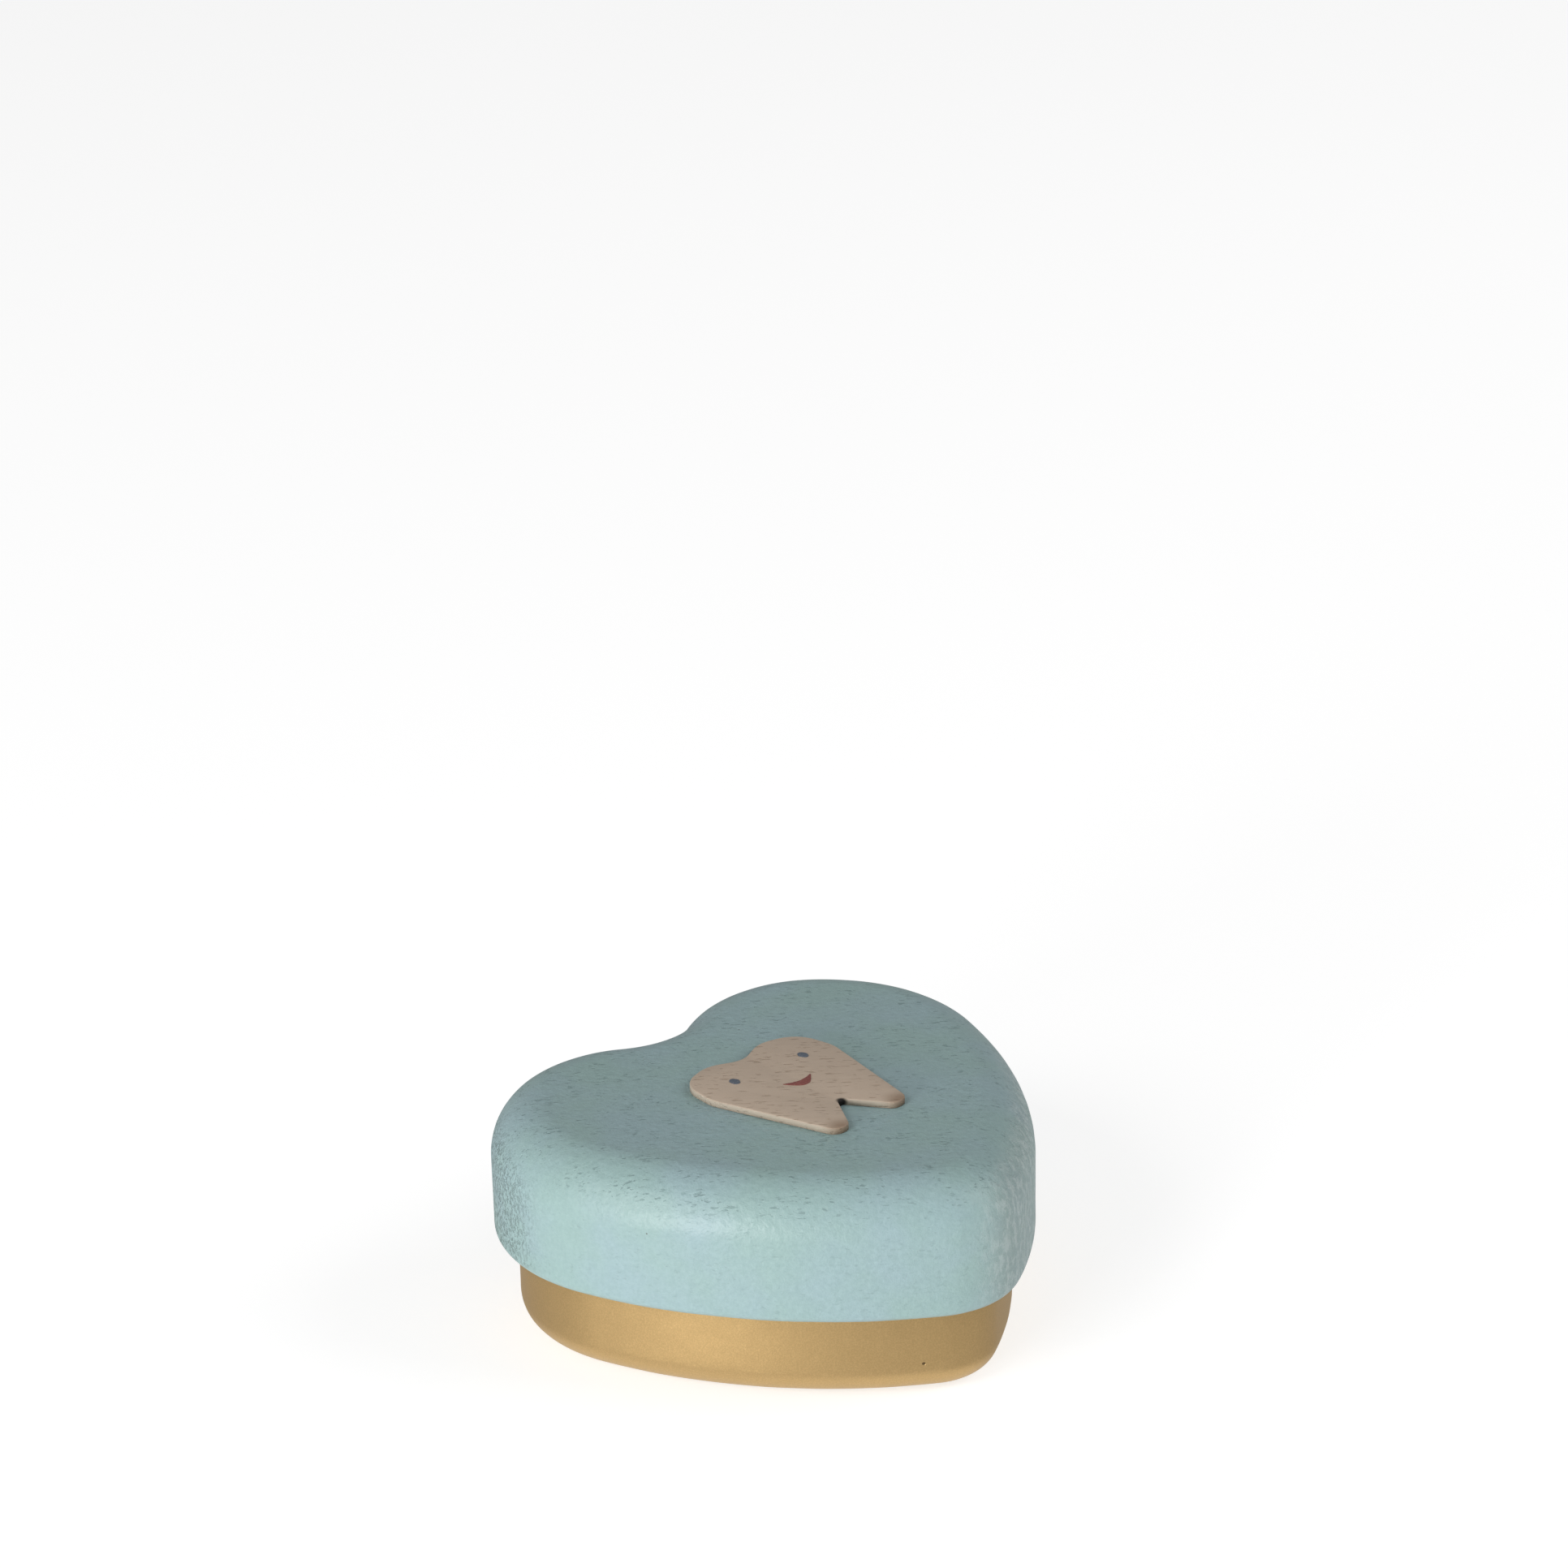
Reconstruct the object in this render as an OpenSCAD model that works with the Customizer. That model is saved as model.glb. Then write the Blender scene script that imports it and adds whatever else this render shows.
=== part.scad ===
// Heart-shaped keepsake box for milk teeth: a milled wooden cup, and a cap lid that lifts straight off it.
// Millimetres, +Z up. The origin is under the middle of the box, on the surface that it stands on.
// The tip of the heart points to -Y and its cleft to +Y. X = 0 is the outline's plane of symmetry.

/* [Heart outline] */
// Width of the lid across its two lobes
lid_w = 50; // [46:0.5:56]
// Length of the lid from its tip to the far side of its lobes
lid_l = 47.2; // [45:0.2:52]
// Radius of a lobe beside the cleft
lobe_r = 12.95; // [12:0.05:14]
// Radius of a lobe's outer shoulder
shoulder_r = 16.3; // [15:0.1:18]
// Angle from +X at which the lobe's arc meets the shoulder's
shoulder_angle = 56; // [50:1:62]
// Radius of the long flank between the shoulder and the tip
flank_r = 46.4; // [42:0.2:60]
// Radius of the blunt tip
tip_r = 8.6; // [7:0.1:11]
// Radius of the soft cleft between the lobes
cleft_r = 7; // [4:0.5:10]

/* [Lid] */
// Height of the closed box, without the plaque
box_h = 20.7; // [18:0.1:26]
// Height of the gold band that shows under the lid
band_h = 8.2; // [6:0.1:10]
// Thickness of the lid's side wall
lid_wall = 1.9; // [1.8:0.05:2.2]
// Thickness of the lid's roof
lid_roof = 3.2; // [2.6:0.1:4]
// Radius of the lid's soft top edge
lid_top_r = 5; // [3:0.1:5.5]
// Radius of the lid's lower outer edge
lid_edge_r = 1.1; // [0.4:0.1:1.3]
// Radius left by the cutter where the lid's wall meets its ceiling
lid_ceiling_r = 0.6; // [0.4:0.1:1]

/* [Base cup] */
// Gap all round between the cup and the lid's wall
lid_gap = 0.2; // [0.1:0.05:0.3]
// Thickness of the cup's side wall
cup_wall = 2.2; // [1.8:0.1:2.4]
// Thickness of the cup's floor
cup_floor = 2.8; // [2.6:0.1:4]
// Radius of the cup's soft lower edge
cup_base_r = 2.5; // [1:0.1:2.8]
// Radius left by the cutter where the pocket's wall meets its floor
pocket_r = 1.5; // [0.5:0.1:2]

/* [Tooth plaque] */
// Thickness of the plaque
plaque_t = 0.6; // [0.5:0.1:1.5]
// How far the plaque sits to the right of the lid's middle
plaque_x = 0.1; // [-1:0.1:1]
// How far the plaque sits behind the lid's middle
plaque_y = 0.5; // [-1:0.1:1]
// Turn of the plaque, as it was glued on by hand
plaque_turn = 3; // [-5:0.5:5]

/* [Printed face] */
// Thickness of the ink
ink_t = 0.05; // [0.03:0.01:0.1]
// Distance between the middles of the two eyes
eye_gap = 8; // [6:0.1:9]
// Width of an eye
eye_w = 0.85; // [0.6:0.05:1.4]
// Length of an eye
eye_l = 1.15; // [0.6:0.05:1.6]
// Width of the mouth
mouth_w = 3.2; // [2:0.1:4]
// Turn of the printed face on the plaque
face_turn = -4; // [-6:0.5:6]

/* [Hidden] */

// Straight pieces in each arc of the outline, in each rounded corner of the plaque and round an eye
arc_steps = 9;
corner_steps = 6;
oval_steps = 24;

// Small break on the rims' edges, and the gap that keeps the closed lid's ceiling clear of the cup's rim
rim_break = 0.4;
rest_gap = 0.05;

// Levels and inward offsets that the two halves share
lid_ceiling_z = box_h - lid_roof;
cup_h = lid_ceiling_z - rest_gap;
cup_in = lid_wall + lid_gap;
pocket_in = cup_in + cup_wall;
plaque_top = box_h + plaque_t;

// Where the face sits on the plaque, which is drawn about its own middle
face_x = 0.3;
eye_y = 4.6;
mouth_x = 0.3;
mouth_y = 0.8;
mouth_sag = 0.45;
mouth_depth = 0.95;

// Right half of the tooth from the dimple in its crown down to the notch between its roots: x, y and corner radius
tooth_half = [
    [0, 7.5, 2.6],
    [3.3, 9.05, 3.4],
    [7.15, 7.9, 3.2],
    [7.72, 3.8, 4],
    [5.05, -6.4, 12],
    [4.5, -8.5, 1.2],
    [2.85, -8.5, 1.05],
    [0.35, -4.6, 0.3]
];

// Centres of the outline's arcs in its right half, placed so that the lid's own box is centred on the origin
lobe = [lid_w / 2 - shoulder_r + (shoulder_r - lobe_r) * cos(shoulder_angle), lid_l / 2 - lobe_r];
shoulder = lobe - (shoulder_r - lobe_r) * [cos(shoulder_angle), sin(shoulder_angle)];
tip = [0, tip_r - lid_l / 2];
cleft = [0, lobe.y + sqrt(pow(lobe_r + cleft_r, 2) - pow(lobe.x, 2))];
flank = inner_centre(shoulder, flank_r - shoulder_r, tip, flank_r - tip_r);

// The crossing of two circles that lies to the left of the line from a to b
function inner_centre(a, ra, b, rb) =
    let (d = norm(b - a))
    let (u = (b - a) / d)
    let (along = (ra * ra - rb * rb + d * d) / (2 * d))
    a + along * u + sqrt(ra * ra - along * along) * [u.y, -u.x];

function angle_of(v) = atan2(v.y, v.x);

function arc(centre, r, from, to, steps) = [
    for (i = [0:steps - 1])
        let (a = from + (to - from) * i / steps)
        centre + r * [cos(a), sin(a)]
];

// The right half of the heart, moved inward by inset, from the tip round to the cleft
function half_heart(inset) =
    let (tip_end = angle_of(tip - flank))
    let (flank_end = angle_of(shoulder - flank))
    let (lobe_end = angle_of(cleft - lobe))
    concat(
        arc(tip, tip_r - inset, -90, tip_end, arc_steps),
        arc(flank, flank_r - inset, tip_end, flank_end, arc_steps),
        arc(shoulder, shoulder_r - inset, flank_end, shoulder_angle, arc_steps),
        arc(lobe, lobe_r - inset, shoulder_angle, lobe_end, arc_steps),
        arc(cleft, cleft_r + inset, lobe_end - 180, -90, arc_steps),
        [cleft - [0, cleft_r + inset]]
    );

function mirrored(half) = concat(half, [for (i = [len(half) - 2:-1:1]) [-half[i].x, half[i].y]]);

// A rounded edge of the skin as [inset, z] pairs, finer where it is larger. 0 degrees faces out of the heart, 90 up.
function edge(inset, z, r, from, to) =
    let (steps = r < 1 ? 2 : 3 + ceil(r))
    [
        for (i = [0:steps])
            let (a = from + (to - from) * i / steps)
            [inset - r * cos(a), z + r * sin(a)]
    ];

// A closed skin of hearts, one at each [inset, z] of the profile, with a flat cap at its first and its last
module heart_skin(profile) {
    rings = [for (p = profile) [for (q = mirrored(half_heart(p[0]))) [q.x, q.y, p[1]]]];
    n = len(rings[0]);
    last = len(profile) - 1;
    walls = [
        for (i = [0:last - 1])
            for (j = [0:n - 1])
                let (k = (j + 1) % n)
                [i * n + j, i * n + n + j, i * n + n + k, i * n + k]
    ];
    first_cap = [for (j = [0:n - 1]) j];
    last_cap = [for (j = [n - 1:-1:0]) last * n + j];
    polyhedron([for (ring = rings) each ring], concat([first_cap], walls, [last_cap]), convexity = 8);
}

// A closed outline whose corners, given as [x, y, radius], are rounded by arcs
function rounded(corners) =
    let (n = len(corners))
    [for (i = [0:n - 1]) each round_corner(corners[(i + n - 1) % n], corners[i], corners[(i + 1) % n])];

function flat(corner) = [corner.x, corner.y];

function round_corner(before, corner, after) =
    let (to_before = flat(before - corner) / norm(flat(before - corner)))
    let (to_after = flat(after - corner) / norm(flat(after - corner)))
    let (half_angle = acos(to_before * to_after) / 2)
    let (r = corner.z)
    let (middle = (to_before + to_after) / norm(to_before + to_after))
    let (centre = flat(corner) + middle * r / sin(half_angle))
    let (start = angle_of(flat(corner) + to_before * r / tan(half_angle) - centre))
    let (side = sign(to_before.y * to_after.x - to_before.x * to_after.y))
    [
        for (i = [0:corner_steps])
            let (a = start + side * (180 - 2 * half_angle) * (i / corner_steps))
            centre + r * [cos(a), sin(a)]
    ];

function tooth_outline() =
    rounded(concat(tooth_half, [for (i = [len(tooth_half) - 1:-1:1]) [-tooth_half[i].x, tooth_half[i].y, tooth_half[i].z]]));

module on_plaque(z) {
    translate([plaque_x, plaque_y, z])
        rotate(plaque_turn)
            children();
}

module on_face(x, y) {
    on_plaque(plaque_top)
        translate([face_x, eye_y])
            rotate(face_turn)
                translate([x, y - eye_y])
                    linear_extrude(ink_t)
                        children();
}

module eye(side) {
    on_face(side * eye_gap / 2, eye_y)
        polygon([for (i = [0:oval_steps - 1]) [eye_w * cos(i * 360 / oval_steps), eye_l * sin(i * 360 / oval_steps)] / 2]);
}

module base_cup() {
    color("#c8a464")
        heart_skin(concat(
            edge(cup_in + cup_base_r, cup_base_r, cup_base_r, -90, 0),
            edge(cup_in + rim_break, cup_h - rim_break, rim_break, 0, 90),
            edge(pocket_in - rim_break, cup_h - rim_break, rim_break, 90, 180),
            edge(pocket_in + pocket_r, cup_floor + pocket_r, pocket_r, 0, -90)
        ));
}

module lid_cap() {
    color("#a5c9cc")
        heart_skin(concat(
            edge(lid_wall + lid_ceiling_r, lid_ceiling_z - lid_ceiling_r, lid_ceiling_r, 90, 0),
            edge(lid_wall - rim_break, band_h + rim_break, rim_break, 180, 270),
            edge(lid_edge_r, band_h + lid_edge_r, lid_edge_r, -90, 0),
            edge(lid_top_r, box_h - lid_top_r, lid_top_r, 0, 90)
        ));
}

module tooth_plaque() {
    color("#a89784")
        on_plaque(box_h)
            linear_extrude(plaque_t)
                polygon(tooth_outline());
}

module left_eye_print() {
    color("#566069")
        eye(-1);
}

module right_eye_print() {
    color("#566069")
        eye(1);
}

// A crescent between two parabolas that meet at the corners of the mouth
module mouth_print() {
    color("#8f4a40")
        on_face(mouth_x, mouth_y)
            polygon(concat(
                [for (i = [-oval_steps:oval_steps]) mouth_edge(i / oval_steps, mouth_sag + mouth_depth)],
                [for (i = [oval_steps - 1:-1:1 - oval_steps]) mouth_edge(i / oval_steps, mouth_sag)]
            ));
}

function mouth_edge(t, sag) = [t * mouth_w / 2, (t * t - 1) * sag + mouth_sag];

base_cup();
lid_cap();
tooth_plaque();
left_eye_print();
right_eye_print();
mouth_print();
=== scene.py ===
"""Looks of a heart-shaped keepsake box: a gold wooden cup, a pale blue lid and a veneer tooth glued on it.

Lengths are in metres in the frame of the CAD model, which gives every height and overall size used here.
"""
import math

import bmesh
import bpy
from mathutils import Matrix, Vector, noise


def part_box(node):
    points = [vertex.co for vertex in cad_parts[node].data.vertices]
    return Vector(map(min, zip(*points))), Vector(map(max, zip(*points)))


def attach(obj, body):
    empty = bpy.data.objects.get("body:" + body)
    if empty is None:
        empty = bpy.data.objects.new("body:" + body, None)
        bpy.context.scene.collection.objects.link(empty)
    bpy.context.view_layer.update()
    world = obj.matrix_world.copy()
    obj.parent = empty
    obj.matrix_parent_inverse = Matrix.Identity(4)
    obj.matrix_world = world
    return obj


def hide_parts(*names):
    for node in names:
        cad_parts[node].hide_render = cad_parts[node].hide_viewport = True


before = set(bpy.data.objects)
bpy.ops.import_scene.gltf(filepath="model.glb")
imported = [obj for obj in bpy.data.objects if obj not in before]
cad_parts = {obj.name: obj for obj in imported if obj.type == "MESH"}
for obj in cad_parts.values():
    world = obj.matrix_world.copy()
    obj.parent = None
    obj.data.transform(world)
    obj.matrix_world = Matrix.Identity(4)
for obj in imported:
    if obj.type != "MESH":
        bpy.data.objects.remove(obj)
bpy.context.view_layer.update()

MM = 0.001

# Heights and sizes that the CAD nodes give
CUP_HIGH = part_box("base_cup")[1]
LID_LOW, LID_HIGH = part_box("lid_cap")
PLAQUE_LOW, PLAQUE_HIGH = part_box("tooth_plaque")
INK_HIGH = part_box("mouth_print")[1]
LID_W = LID_HIGH.x - LID_LOW.x
LID_L = LID_HIGH.y - LID_LOW.y
CUP_IN = LID_HIGH.y - CUP_HIGH.y

# The heart's arcs: lobe beside the cleft, outer shoulder, long flank, blunt tip and soft cleft
LOBE_R = 12.95 * MM
SHOULDER_R = 16.3 * MM
SHOULDER_ANGLE = math.radians(56)
FLANK_R = 46.4 * MM
TIP_R = 8.6 * MM
CLEFT_R = 7 * MM

# Sections through the lid and the cup
LID_TOP_R = 5 * MM
LID_EDGE_R = 1.1 * MM
LID_WALL = 1.9 * MM
LID_ROOF = 3.2 * MM
LID_CEILING_R = 0.6 * MM
CUP_BASE_R = 2.5 * MM
CUP_WALL = 2.2 * MM
CUP_FLOOR = 2.8 * MM
POCKET_R = 1.5 * MM
RIM_BREAK = 0.4 * MM

# Spacing of the mesh along the outline and up the walls
SPACING = 0.45 * MM

# Turn from the grain of the lid and of the plaque to the X axis
GRAIN_TURN = math.radians(42)

# Deepest hollow that the brush and the sander left in the two painted blocks,
# and the lengths of the long and the short waves
WAVE_DEPTH = 0.06 * MM
LONG_WAVE = 7 * MM
SHORT_WAVE = 2.5 * MM

# Slack for telling one level or inset from another
TOUCH = 0.01 * MM

# The plaque: where its middle lies on the lid, and its turn.
# Then the right half of its outline, as x, y and corner radius in millimetres.
PLAQUE_MIDDLE = Vector((0.1, 0.5)) * MM
PLAQUE_TURN = math.radians(3)
PLAQUE_EDGE = 0.12 * MM
TOOTH_HALF = [
    (0, 7.5, 2.6),
    (3.3, 9.05, 3.4),
    (7.15, 7.9, 3.2),
    (7.72, 3.8, 4),
    (4.5, -8.5, 1.2),
    (2.85, -8.5, 1.05),
    (0.35, -4.6, 0.3),
]

# The printed face on the plaque
FACE_MIDDLE = Vector((0.3, 4.6)) * MM
FACE_TURN = math.radians(-4)
EYE_GAP = 8 * MM
EYE_W = 0.85 * MM
EYE_L = 1.15 * MM
MOUTH_W = 3.2 * MM
MOUTH_SHIFT = 0.3 * MM
MOUTH_DROP = 3.8 * MM
MOUTH_SAG = 0.45 * MM
MOUTH_DEPTH = 0.95 * MM
INK_WOBBLE = 0.05 * MM
INK_WOBBLES_PER_M = 3000

# The camera: where it stands round the row's origin, what it is aimed at, its roll and its lens
VIEW_AZIMUTH = math.radians(-41.77)
VIEW_ELEVATION = math.radians(27.87)
VIEW_DISTANCE = 0.5
VIEW_AIM = Vector((0.0121, 0.0157, 0.0420))
VIEW_ROLL = math.radians(-1.28)
LENS_MM = 127.6

# The one bubble hole in the gold that is easy to see
PINHOLE = Vector((-4.65, -19.7, 3.1)) * MM

# Brightness of the studio's surround, of the floor as glossy surfaces see it, and the floor's own glow
SURROUND = 0.32
MIRRORED_FLOOR = 0.75
FLOOR_GLOW = 0.66


# ---------------------------------------------------------------- outlines

def direction(angle):
    return Vector((math.cos(angle), math.sin(angle)))


def angle_of(v):
    return math.atan2(v.y, v.x)


def crossing(a, ra, b, rb):
    """The crossing of two circles that lies to the left of the line from a to b."""
    gap = (b - a).length
    u = (b - a) / gap
    along = (ra * ra - rb * rb + gap * gap) / (2 * gap)
    return a + along * u + math.sqrt(ra * ra - along * along) * Vector((u.y, -u.x))


def heart_arcs():
    """The arcs of the right half from tip to cleft: centre, radius, start, end and the sign of an inset."""
    reach = SHOULDER_R - LOBE_R
    lobe_x = LID_W / 2 - SHOULDER_R + reach * math.cos(SHOULDER_ANGLE)
    lobe = Vector((lobe_x, LID_L / 2 - LOBE_R))
    shoulder = lobe - reach * direction(SHOULDER_ANGLE)
    tip = Vector((0, TIP_R - LID_L / 2))
    cleft = Vector((0, lobe.y + math.sqrt((LOBE_R + CLEFT_R) ** 2 - lobe.x ** 2)))
    flank = crossing(shoulder, FLANK_R - SHOULDER_R, tip, FLANK_R - TIP_R)
    tip_end = angle_of(tip - flank)
    flank_end = angle_of(shoulder - flank)
    lobe_end = angle_of(cleft - lobe)
    return [
        (tip, TIP_R, -math.pi / 2, tip_end, -1),
        (flank, FLANK_R, tip_end, flank_end, -1),
        (shoulder, SHOULDER_R, flank_end, SHOULDER_ANGLE, -1),
        (lobe, LOBE_R, SHOULDER_ANGLE, lobe_end, -1),
        (cleft, CLEFT_R, lobe_end - math.pi, -math.pi / 2, 1),
    ]


ARCS = heart_arcs()


def heart(inset):
    """The closed outline moved inward by inset, anticlockwise from the tip."""
    half = []
    for centre, r, start, end, sign in ARCS:
        steps = max(4, round(r * abs(end - start) / SPACING))
        for i in range(steps):
            half.append(centre + (r + sign * inset) * direction(start + (end - start) * i / steps))
    cleft, r = ARCS[-1][:2]
    half.append(cleft - Vector((0, r + inset)))
    return half + [Vector((-p.x, p.y)) for p in half[-2:0:-1]]


def rounded(corners, steps=12):
    """A closed outline whose corners, given as point and radius, are rounded by arcs."""
    outline = []
    for i, (point, r) in enumerate(corners):
        back = (corners[i - 1][0] - point).normalized()
        on = (corners[(i + 1) % len(corners)][0] - point).normalized()
        half_angle = back.angle(on) / 2
        centre = point + (back + on).normalized() * r / math.sin(half_angle)
        start = angle_of(point + back * r / math.tan(half_angle) - centre)
        side = math.copysign(1, back.y * on.x - back.x * on.y)
        for k in range(steps + 1):
            outline.append(centre + r * direction(start + side * (math.pi - 2 * half_angle) * k / steps))
    return outline


# ---------------------------------------------------------------- meshes

def edge(inset, z, r, start, end):
    """A rounded edge of a section as (inset, z) pairs. 0 degrees faces out of the heart and 90 faces up."""
    steps = max(4, round(r * abs(math.radians(end - start)) / (0.5 * SPACING)))
    angles = [math.radians(start + (end - start) * i / steps) for i in range(steps + 1)]
    return [(inset - r * math.cos(a), z + r * math.sin(a)) for a in angles]


def filled(section):
    """The section with long straight stretches divided."""
    out = [section[0]]
    for a, b in zip(section, section[1:]):
        steps = max(1, round(math.dist(a, b) / (1.6 * SPACING)))
        run, rise = b[0] - a[0], b[1] - a[1]
        out += [(a[0] + run * i / steps, a[1] + rise * i / steps) for i in range(1, steps + 1)]
    return out


def new_object(name, bm, material, smooth=True):
    """An object made from a bmesh, which is used up."""
    bmesh.ops.recalc_face_normals(bm, faces=bm.faces)
    mesh = bpy.data.meshes.new(name)
    bm.to_mesh(mesh)
    bm.free()
    mesh.materials.append(material)
    if smooth:
        mesh.shade_smooth()
    piece = bpy.data.objects.new(name, mesh)
    bpy.context.scene.collection.objects.link(piece)
    return piece


def cap(bm, ring, layer, steps=26):
    """Closes a ring with smaller copies of itself about its middle, so that a flat face can be uneven too."""
    middle = sum((v.co for v in ring), Vector()) / len(ring)
    rest = [v.co.copy() for v in ring]
    value = ring[0][layer]
    for k in range(1, steps):
        inner = [bm.verts.new(middle + (p - middle) * (1 - k / steps)) for p in rest]
        for v in inner:
            v[layer] = value
        join_rings(bm, ring, inner)
        ring = inner
    last = bm.verts.new(middle)
    last[layer] = value
    for a, b in zip(ring, ring[1:] + ring[:1]):
        bm.faces.new((a, b, last))


def join_rings(bm, low, high):
    for i, v in enumerate(low):
        k = (i + 1) % len(low)
        bm.faces.new((v, low[k], high[k], high[i]))


def heart_block(name, section, is_bare, material):
    """A closed block of hearts along the section. is_bare(inset, z) tells where it is unpainted wood."""
    bm = bmesh.new()
    bare = bm.verts.layers.float.new("bare")
    rings = []
    for inset, z in filled(section):
        ring = [bm.verts.new((p.x, p.y, z)) for p in heart(inset)]
        for v in ring:
            v[bare] = is_bare(inset, z)
        rings.append(ring)
    for low, high in zip(rings, rings[1:]):
        join_rings(bm, low, high)
    cap(bm, rings[0], bare)
    cap(bm, rings[-1], bare)
    bmesh.ops.recalc_face_normals(bm, faces=bm.faces)
    bm.normal_update()
    moves = [v.normal * hollow(v.co) for v in bm.verts]
    for v, move in zip(bm.verts, moves):
        v.co -= move
    return new_object(name, bm, material)


def hollow(co):
    """How deep the real surface lies under its true form: long soft waves, and nothing on the underside."""
    if co.z < TOUCH:
        return 0
    wave = noise.noise(co / LONG_WAVE) + 0.5 * noise.noise(co / SHORT_WAVE + Vector((7, 3, 5)))
    return WAVE_DEPTH * min(1, max(0.1, 0.45 + 0.5 * wave))


def make_lid(material):
    def is_bare(inset, z):
        return inset > LID_WALL - TOUCH and z < ceiling + MM

    ceiling = LID_HIGH.z - LID_ROOF
    low = LID_LOW.z
    section = (
        edge(LID_WALL + LID_CEILING_R, ceiling - LID_CEILING_R, LID_CEILING_R, 90, 0)
        + edge(LID_WALL - RIM_BREAK, low + RIM_BREAK, RIM_BREAK, 180, 270)
        + edge(LID_EDGE_R, low + LID_EDGE_R, LID_EDGE_R, -90, 0)
        + edge(LID_TOP_R, LID_HIGH.z - LID_TOP_R, LID_TOP_R, 0, 90)
    )
    return heart_block("lid_cap_painted", section, is_bare, material)


def make_cup(material):
    def is_bare(inset, z):
        return inset > pocket_in - TOUCH and z > MM

    pocket_in = CUP_IN + CUP_WALL
    high = CUP_HIGH.z
    section = (
        edge(CUP_IN + CUP_BASE_R, CUP_BASE_R, CUP_BASE_R, -90, 0)
        + edge(CUP_IN + RIM_BREAK, high - RIM_BREAK, RIM_BREAK, 0, 90)
        + edge(pocket_in - RIM_BREAK, high - RIM_BREAK, RIM_BREAK, 90, 180)
        + edge(pocket_in + POCKET_R, CUP_FLOOR + POCKET_R, POCKET_R, 0, -90)
    )
    return heart_block("base_cup_gilded", section, is_bare, material)


def plate(name, outline, low, high, bevel, material):
    """A flat plate over a closed outline, with its upper edge softened."""
    bm = bmesh.new()
    bm.faces.new([bm.verts.new((p.x, p.y, low)) for p in outline])
    top = bmesh.ops.extrude_face_region(bm, geom=bm.faces[:])["geom"]
    for v in top:
        if isinstance(v, bmesh.types.BMVert):
            v.co.z = high
    bmesh.ops.recalc_face_normals(bm, faces=bm.faces)
    rim = [e for e in bm.edges if all(v.co.z > (low + high) / 2 for v in e.verts)]
    bmesh.ops.bevel(bm, geom=rim, offset=bevel, segments=3, profile=0.5, affect="EDGES")
    return new_object(name, bm, material)


def on_plaque(p):
    return PLAQUE_MIDDLE + Matrix.Rotation(PLAQUE_TURN, 2) @ p


def on_face(p):
    return on_plaque(FACE_MIDDLE + Matrix.Rotation(FACE_TURN, 2) @ p)


def make_plaque(material):
    right = [(Vector((x, y)) * MM, r * MM) for x, y, r in TOOTH_HALF]
    left = [(Vector((-p.x, p.y)), r) for p, r in right[:0:-1]]
    outline = [on_plaque(p) for p in rounded(right + left)]
    return plate("tooth_plaque_veneer", outline, PLAQUE_LOW.z, PLAQUE_HIGH.z, PLAQUE_EDGE, material)


def ink(name, outline, seed, material):
    """A printed mark whose rim wanders a little, as ink does on open grain."""
    def stray(p, turn):
        return noise.noise(Vector((*p, turn)) * INK_WOBBLES_PER_M) * INK_WOBBLE

    wandering = [p + Vector((stray(p, seed), stray(p, seed + 9))) for p in outline]
    return plate(name, wandering, PLAQUE_HIGH.z, INK_HIGH.z, 0.3 * (INK_HIGH.z - PLAQUE_HIGH.z), material)


def make_eye(name, side, material):
    """An eye, on the left where side is -1 and on the right where it is 1."""
    def rim(t):
        return on_face(Vector((side * EYE_GAP / 2 + EYE_W / 2 * math.cos(t), EYE_L / 2 * math.sin(t))))

    steps = 48
    outline = [rim(2 * math.pi * i / steps) for i in range(steps)]
    return ink(name, outline, side, material)


def make_mouth(material):
    """A crescent between two parabolas. Along it t runs from -1 to 1."""
    def lip(t, sag):
        return on_face(Vector((t * MOUTH_W / 2 + MOUTH_SHIFT, (t * t - 1) * sag + MOUTH_SAG - MOUTH_DROP)))

    lower = [lip(i / 24, MOUTH_SAG + MOUTH_DEPTH) for i in range(-24, 25)]
    upper = [lip(i / 24, MOUTH_SAG) for i in range(23, -24, -1)]
    return ink("mouth_ink", lower + upper, 5, material)


# ---------------------------------------------------------------- materials

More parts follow.
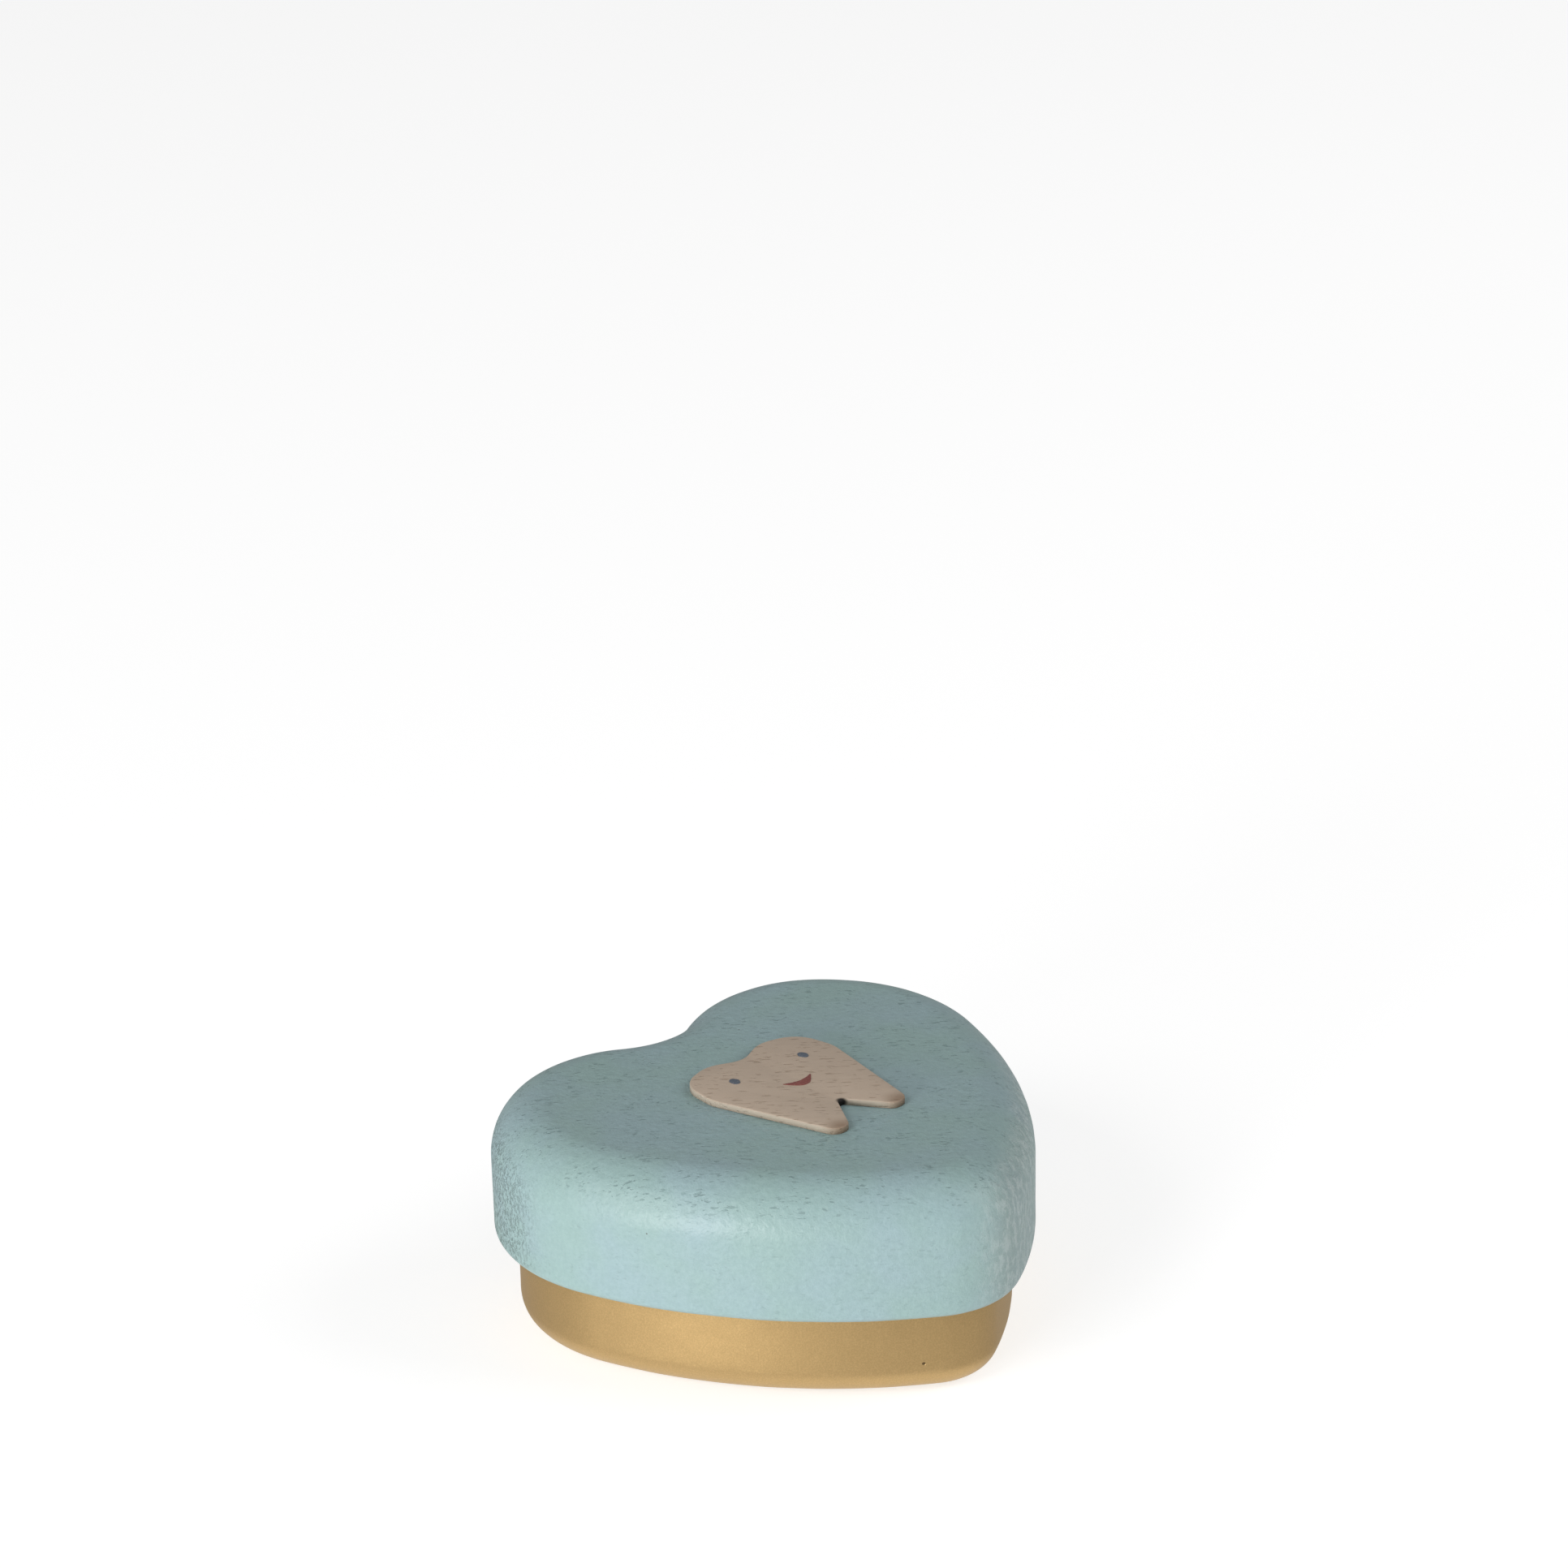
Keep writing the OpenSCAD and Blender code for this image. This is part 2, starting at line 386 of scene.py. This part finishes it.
class Paint:
    """A node material around one Principled shader. Patterns are laid out in millimetres along place."""

    def __init__(self, name, **constants):
        self.material = bpy.data.materials.new(name)
        self.material.use_nodes = True
        self.nodes = self.material.node_tree.nodes
        self.shader = self.nodes["Principled BSDF"]
        for socket, value in constants.items():
            self.shader.inputs[socket.replace("_", " ")].default_value = value
        here = self.add("ShaderNodeTexCoord")
        self.here = self.scaled(here.outputs["Object"], (1000, 1000, 1000))
        self.place = self.here
        self.facing = here.outputs["Normal"]

    def add(self, kind, **settings):
        node = self.nodes.new(kind)
        for key, value in settings.items():
            setattr(node, key, value)
        return node

    def put(self, socket, value):
        if isinstance(value, bpy.types.NodeSocket):
            self.material.node_tree.links.new(value, socket)
        else:
            socket.default_value = value

    def scaled(self, vector, factors):
        node = self.add("ShaderNodeVectorMath", operation="MULTIPLY")
        self.put(node.inputs[0], vector)
        self.put(node.inputs[1], factors)
        return node.outputs[0]

    def turned(self, vector, angle):
        """The vector turned about Z by that angle."""
        node = self.add("ShaderNodeVectorRotate", rotation_type="Z_AXIS")
        self.put(node.inputs["Vector"], vector)
        self.put(node.inputs["Angle"], angle)
        return node.outputs[0]

    def math(self, operation, *values, clamp=False):
        node = self.add("ShaderNodeMath", operation=operation, use_clamp=clamp)
        for socket, value in zip(node.inputs, values):
            self.put(socket, value)
        return node.outputs[0]

    def noise(self, per_mm, detail=2, roughness=0.5, stretch=(1, 1, 1), shift=0):
        """A noise of that many features per millimetre, from 0 to 1."""
        node = self.add("ShaderNodeTexNoise")
        move = self.add("ShaderNodeVectorMath", operation="ADD")
        self.put(move.inputs[0], self.scaled(self.place, tuple(per_mm * s for s in stretch)))
        self.put(move.inputs[1], (shift, 2 * shift, 3 * shift))
        self.put(node.inputs["Vector"], move.outputs[0])
        self.put(node.inputs["Scale"], 1)
        self.put(node.inputs["Detail"], detail)
        self.put(node.inputs["Roughness"], roughness)
        return node.outputs["Fac"]

    def specks(self, per_mm, radius, shift=0):
        """1 inside scattered round specks of that radius in millimetres, and 0 outside."""
        node = self.add("ShaderNodeTexVoronoi")
        move = self.add("ShaderNodeVectorMath", operation="ADD")
        self.put(move.inputs[0], self.place)
        self.put(move.inputs[1], (shift, shift, shift))
        self.put(node.inputs["Vector"], move.outputs[0])
        self.put(node.inputs["Scale"], per_mm)
        return self.ramp(node.outputs["Distance"], radius * per_mm * 1.3, radius * per_mm * 0.7)

    def ramp(self, value, zero_at, one_at):
        """Runs smoothly from 0 where value is zero_at to 1 where it is one_at."""
        node = self.add("ShaderNodeMapRange", interpolation_type="SMOOTHSTEP")
        low, high = min(zero_at, one_at), max(zero_at, one_at)
        self.put(node.inputs["Value"], value)
        self.put(node.inputs["From Min"], low)
        self.put(node.inputs["From Max"], high)
        self.put(node.inputs["To Min"], 0.0 if zero_at < one_at else 1.0)
        self.put(node.inputs["To Max"], 1.0 if zero_at < one_at else 0.0)
        return node.outputs[0]

    def between(self, value, low, high):
        """Maps 0 to low and 1 to high."""
        return self.math("ADD", self.math("MULTIPLY", value, high - low), low)

    def mix(self, share, a, b):
        node = self.add("ShaderNodeMix", data_type="RGBA")
        self.put(node.inputs["Factor"], share)
        for socket, colour in ((node.inputs[6], a), (node.inputs[7], b)):
            self.put(socket, colour if isinstance(colour, bpy.types.NodeSocket) else (*colour, 1))
        return node.outputs[2]

    def axis(self, vector, index):
        node = self.add("ShaderNodeSeparateXYZ")
        self.put(node.inputs[0], vector)
        return node.outputs[index]

    def near(self, point, reach):
        """1 at a point of the row's frame, falling to 0 at that many millimetres."""
        node = self.add("ShaderNodeVectorMath", operation="DISTANCE")
        self.put(node.inputs[0], self.here)
        self.put(node.inputs[1], tuple(c / MM for c in point))
        return self.ramp(node.outputs["Value"], reach, 0)

    def bare(self):
        return self.add("ShaderNodeAttribute", attribute_name="bare").outputs["Fac"]

    def finish(self, colour, roughness, height_mm, metallic=None):
        bump = self.add("ShaderNodeBump")
        self.put(bump.inputs["Distance"], MM)
        self.put(bump.inputs["Height"], height_mm)
        self.put(self.shader.inputs["Base Color"], colour)
        self.put(self.shader.inputs["Roughness"], roughness)
        self.put(self.shader.inputs["Normal"], bump.outputs[0])
        if metallic is not None:
            self.put(self.shader.inputs["Metallic"], metallic)
        return self.material


def wood_grain(paint):
    """Bare close-grained wood, its grain along X: colour and height."""
    pale = (0.62, 0.47, 0.31)
    dark = (0.47, 0.33, 0.2)
    lines = paint.noise(2.2, 3, 0.6, stretch=(0.06, 1, 1), shift=3)
    flecks = paint.ramp(paint.noise(3.2, 1, stretch=(0.15, 1, 1), shift=8), 0.62, 0.75)
    colour = paint.mix(paint.math("MULTIPLY", lines, 0.8), pale, dark)
    colour = paint.mix(paint.math("MULTIPLY", flecks, 0.5), colour, tuple(c * 0.55 for c in dark))
    height = paint.math("SUBTRACT", paint.math("MULTIPLY", lines, 0.02), paint.math("MULTIPLY", flecks, 0.02))
    return colour, height


def joined(paint, share, a, b):
    """The height a where share is 0 and b where it is 1."""
    rest = paint.math("SUBTRACT", 1, share)
    return paint.math("ADD", paint.math("MULTIPLY", a, rest), paint.math("MULTIPLY", b, share))


def painted(paint, ragged, colour, rough, height, metallic=0):
    """Finishes a block whose inside is bare wood. The noise ragged frays the border where the paint ends."""
    bare_colour, bare_height = wood_grain(paint)
    bare = paint.ramp(paint.math("ADD", paint.bare(), paint.between(ragged, -0.3, 0.3)), 0.4, 0.6)
    colour = paint.mix(bare, colour, bare_colour)
    rough = paint.math("ADD", rough, paint.math("MULTIPLY", bare, 0.3), clamp=True)
    metallic = paint.between(bare, metallic, 0) if metallic else None
    return paint.finish(colour, rough, joined(paint, bare, height, bare_height), metallic)


def blue_paint():
    """Satin paint on a block whose end grain shows through where the sides face along the grain."""
    paint = Paint("pale_blue_satin_paint", Specular_IOR_Level=0.4)
    paint.place = paint.turned(paint.here, GRAIN_TURN)
    along = paint.axis(paint.turned(paint.facing, GRAIN_TURN), 0)
    left_end = paint.ramp(along, -0.66, -0.94)
    right_end = paint.ramp(along, 0.4, 0.9)
    clouds = paint.noise(0.13, 3, 0.55)
    mottle = paint.noise(2.4, 4, 0.7, shift=2)
    pores = paint.ramp(paint.noise(4, 2, stretch=(0.34, 1, 1), shift=5), 0.58, 0.68)
    pores = paint.math("MULTIPLY", pores, paint.ramp(paint.noise(0.5, 2, shift=11), 0.35, 0.65))
    upward = paint.ramp(paint.axis(paint.facing, 2), 0.3, 0.8)
    pores = paint.math("MULTIPLY", pores, paint.between(upward, 0.4, 1.1))
    pits = paint.ramp(paint.noise(3.6, 3, 0.7, stretch=(1, 1, 0.7), shift=6), 0.48, 0.64)
    pits = paint.math("MULTIPLY", pits, left_end)
    wrinkles = paint.noise(1.4, 5, 0.75, stretch=(1, 1, 0.6), shift=9)
    worn = paint.math("MULTIPLY", paint.ramp(wrinkles, 0.45, 0.6), right_end)
    specks = paint.specks(0.16, 0.08, shift=4)

    colour = paint.mix(paint.ramp(clouds, 0.3, 0.7), (0.29, 0.415, 0.4), (0.3, 0.415, 0.437))
    colour = paint.mix(paint.ramp(mottle, 0.3, 0.7), paint.mix(0.22, colour, (0.16, 0.25, 0.25)), colour)
    colour = paint.mix(paint.math("MULTIPLY", pores, 0.5), colour, (0.12, 0.18, 0.18))
    colour = paint.mix(paint.math("MULTIPLY", right_end, 0.3), colour, (0.4, 0.46, 0.45))
    colour = paint.mix(paint.math("MULTIPLY", worn, 0.5), colour, (0.55, 0.63, 0.62))
    colour = paint.mix(paint.math("MULTIPLY", pits, 0.6), colour, (0.12, 0.17, 0.16))
    colour = paint.mix(paint.math("MULTIPLY", specks, 0.7), colour, (0.08, 0.07, 0.06))
    rough = paint.math("ADD", paint.between(mottle, 0.32, 0.5), paint.math("MULTIPLY", pores, 0.2))

    peel = paint.math("MULTIPLY", paint.noise(1.5, 3, 0.55, shift=7), 0.085)
    grit = paint.math("MULTIPLY", paint.noise(5.5, 2, shift=1), 0.018)
    folds = paint.math("MULTIPLY", paint.math("MULTIPLY", wrinkles, right_end), 0.35)
    dents = paint.math("ADD", paint.math("MULTIPLY", pores, 0.03), paint.math("MULTIPLY", pits, 0.08))
    height = paint.math("SUBTRACT", paint.math("ADD", paint.math("ADD", peel, grit), folds), dents)
    return painted(paint, mottle, colour, rough, height)


def gold_paint():
    """Satin gold paint full of fine flakes, with a few pinholes."""
    paint = Paint("satin_gold_paint", Specular_IOR_Level=0.5)
    clouds = paint.noise(0.16, 3, 0.6)
    flakes = paint.noise(8, 3, 0.75, shift=2)
    pinholes = paint.specks(0.2, 0.07, shift=2.5)
    pinholes = paint.math("MAXIMUM", pinholes, paint.ramp(paint.near(PINHOLE, 0.3), 0.3, 0.7))

    colour = paint.mix(clouds, (0.8, 0.55, 0.25), (0.88, 0.61, 0.285))
    colour = paint.mix(paint.ramp(flakes, 0.35, 0.75), paint.mix(0.3, colour, (0.4, 0.24, 0.08)), colour)
    colour = paint.mix(paint.math("MULTIPLY", pinholes, 0.8), colour, (0.1, 0.06, 0.03))
    rough = paint.between(flakes, 0.33, 0.49)

    grain = paint.math("MULTIPLY", paint.noise(0.7, 3, 0.5, shift=8), 0.02)
    grit = paint.math("MULTIPLY", flakes, 0.007)
    height = paint.math("SUBTRACT", paint.math("ADD", grain, grit), paint.math("MULTIPLY", pinholes, 0.06))
    return painted(paint, flakes, colour, rough, height, metallic=0.92)


def veneer():
    """Pale sanded veneer, browned by the laser at the tips of the roots and burnt in the notch."""
    paint = Paint("sanded_veneer", Specular_IOR_Level=0.3)
    paint.place = paint.turned(paint.here, GRAIN_TURN)
    middle = (PLAQUE_LOW.z + PLAQUE_HIGH.z) / 2
    side = paint.ramp(paint.math("ABSOLUTE", paint.axis(paint.facing, 2)), 0.75, 0.35)
    mottle = paint.noise(0.9, 4, 0.6, shift=4)
    lines = paint.noise(1.9, 3, 0.6, stretch=(0.1, 1, 1), shift=1)
    pores = paint.ramp(paint.noise(3.4, 2, stretch=(0.25, 1, 1), shift=6), 0.6, 0.7)

    colour = paint.mix(mottle, (0.47, 0.38, 0.3), (0.53, 0.43, 0.34))
    colour = paint.mix(paint.math("MULTIPLY", lines, 0.4), colour, (0.45, 0.34, 0.25))
    colour = paint.mix(paint.math("MULTIPLY", pores, 0.45), colour, (0.25, 0.17, 0.11))
    colour = paint.mix(paint.math("MULTIPLY", side, 0.75), colour, (0.41, 0.36, 0.29))
    for x in (-3.7, 3.7):
        tip = on_plaque(Vector((x, -8.4)) * MM)
        scorch = paint.math("MULTIPLY", paint.near((*tip, middle), 2.2), paint.between(mottle, 0.6, 1.1))
        colour = paint.mix(paint.math("MULTIPLY", scorch, 0.85), colour, (0.2, 0.12, 0.07))
    notch = on_plaque(Vector((0, -4.7)) * MM)
    burn = paint.ramp(paint.near((*notch, middle), 1.1), 0.3, 0.75)
    colour = paint.mix(burn, colour, (0.015, 0.012, 0.01))

    height = paint.math("ADD", paint.math("MULTIPLY", lines, 0.02), paint.math("MULTIPLY", mottle, 0.02))
    height = paint.math("SUBTRACT", height, paint.math("MULTIPLY", pores, 0.03))
    return paint.finish(colour, paint.between(mottle, 0.55, 0.75), height)


def printed_ink(name, colour):
    """Matt ink through which a little of the grain shows."""
    paint = Paint(name, Specular_IOR_Level=0.3)
    patches = paint.noise(4.5, 3, 0.65, shift=3)
    thin = paint.ramp(patches, 0.55, 0.78)
    shade = paint.mix(patches, tuple(c * 0.8 for c in colour), tuple(c * 1.25 for c in colour))
    shade = paint.mix(paint.math("MULTIPLY", thin, 0.5), shade, (0.45, 0.36, 0.28))
    return paint.finish(shade, paint.between(patches, 0.5, 0.7), paint.math("MULTIPLY", patches, 0.01))


# ---------------------------------------------------------------- stage

def make_floor():
    """A wide pale floor that glows, as a lit studio sweep does. Glossy surfaces mirror the world instead."""
    bm = bmesh.new()
    bmesh.ops.create_circle(bm, cap_ends=True, radius=4, segments=96)
    paint = Paint("studio_floor", Roughness=0.9)
    tint = paint.mix(paint.noise(0.004, 2), (0.5, 0.5, 0.5), (0.52, 0.52, 0.52))
    paint.put(paint.shader.inputs["Base Color"], tint)
    paint.shader.inputs["Emission Color"].default_value = (1, 1, 1, 1)
    paint.shader.inputs["Emission Strength"].default_value = FLOOR_GLOW
    floor = new_object("floor", bm, paint.material, smooth=False)
    floor.visible_glossy = False


def make_light(name, azimuth, elevation, distance, size, power):
    """A square soft box aimed at the middle of the box, placed as the camera is, by azimuth and elevation."""
    data = bpy.data.lights.new(name, "AREA")
    data.size = size
    data.energy = power
    light = bpy.data.objects.new(name, data)
    bpy.context.scene.collection.objects.link(light)
    back = seen_from(math.radians(azimuth), math.radians(elevation))
    light.location = back * distance + Vector((0, 0, LID_LOW.z))
    light.rotation_mode = "QUATERNION"
    light.rotation_quaternion = (-back).to_track_quat("-Z", "Y")


def seen_from(azimuth, elevation):
    """The unit vector from the object towards a viewer at that azimuth and elevation."""
    return Vector((
        math.sin(azimuth) * math.cos(elevation),
        -math.cos(azimuth) * math.cos(elevation),
        math.sin(elevation),
    ))


def make_camera():
    data = bpy.data.cameras.new("camera")
    data.lens = LENS_MM
    data.sensor_width = 36
    data.clip_start = 0.01
    data.clip_end = 20
    camera = bpy.data.objects.new("camera", data)
    bpy.context.scene.collection.objects.link(camera)
    camera.location = seen_from(VIEW_AZIMUTH, VIEW_ELEVATION) * VIEW_DISTANCE
    level = (VIEW_AIM - camera.location).to_track_quat("-Z", "Y").to_matrix()
    camera.rotation_mode = "QUATERNION"
    camera.rotation_quaternion = (level @ Matrix.Rotation(VIEW_ROLL, 3, "Z")).to_quaternion()
    bpy.context.scene.camera = camera


def make_world():
    """A pale surround, brighter straight down, where only glossy surfaces see it in place of the floor."""
    world = bpy.data.worlds.new("studio")
    world.use_nodes = True
    nodes = world.node_tree.nodes
    links = world.node_tree.links
    split = nodes.new("ShaderNodeSeparateXYZ")
    strength = nodes.new("ShaderNodeMapRange")
    strength.interpolation_type = "SMOOTHSTEP"
    strength.inputs["From Min"].default_value = -0.85
    strength.inputs["From Max"].default_value = -0.4
    strength.inputs["To Min"].default_value = MIRRORED_FLOOR
    strength.inputs["To Max"].default_value = SURROUND
    links.new(nodes.new("ShaderNodeTexCoord").outputs["Generated"], split.inputs[0])
    links.new(split.outputs["Z"], strength.inputs["Value"])
    links.new(strength.outputs[0], nodes["Background"].inputs["Strength"])
    nodes["Background"].inputs["Color"].default_value = (1, 1, 1, 1)
    bpy.context.scene.world = world


# ---------------------------------------------------------------- the object

def place(piece, node, body):
    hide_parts(node)
    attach(piece, body)


bpy.context.scene.view_settings.view_transform = "Standard"
make_camera()
make_world()
make_floor()
make_light("key", azimuth=-88, elevation=36, distance=0.8, size=0.3, power=1.8)
make_light("low_key", azimuth=-75, elevation=5, distance=0.8, size=0.22, power=4.7)
make_light("fill", azimuth=44, elevation=36, distance=0.9, size=0.5, power=2.6)

eye_ink = printed_ink("blue_grey_ink", (0.1, 0.12, 0.15))
place(make_cup(gold_paint()), "base_cup", "cup")
place(make_lid(blue_paint()), "lid_cap", "lid")
place(make_plaque(veneer()), "tooth_plaque", "lid")
place(make_eye("left_eye_ink", -1, eye_ink), "left_eye_print", "lid")
place(make_eye("right_eye_ink", 1, eye_ink), "right_eye_print", "lid")
place(make_mouth(printed_ink("brick_red_ink", (0.22, 0.07, 0.06))), "mouth_print", "lid")
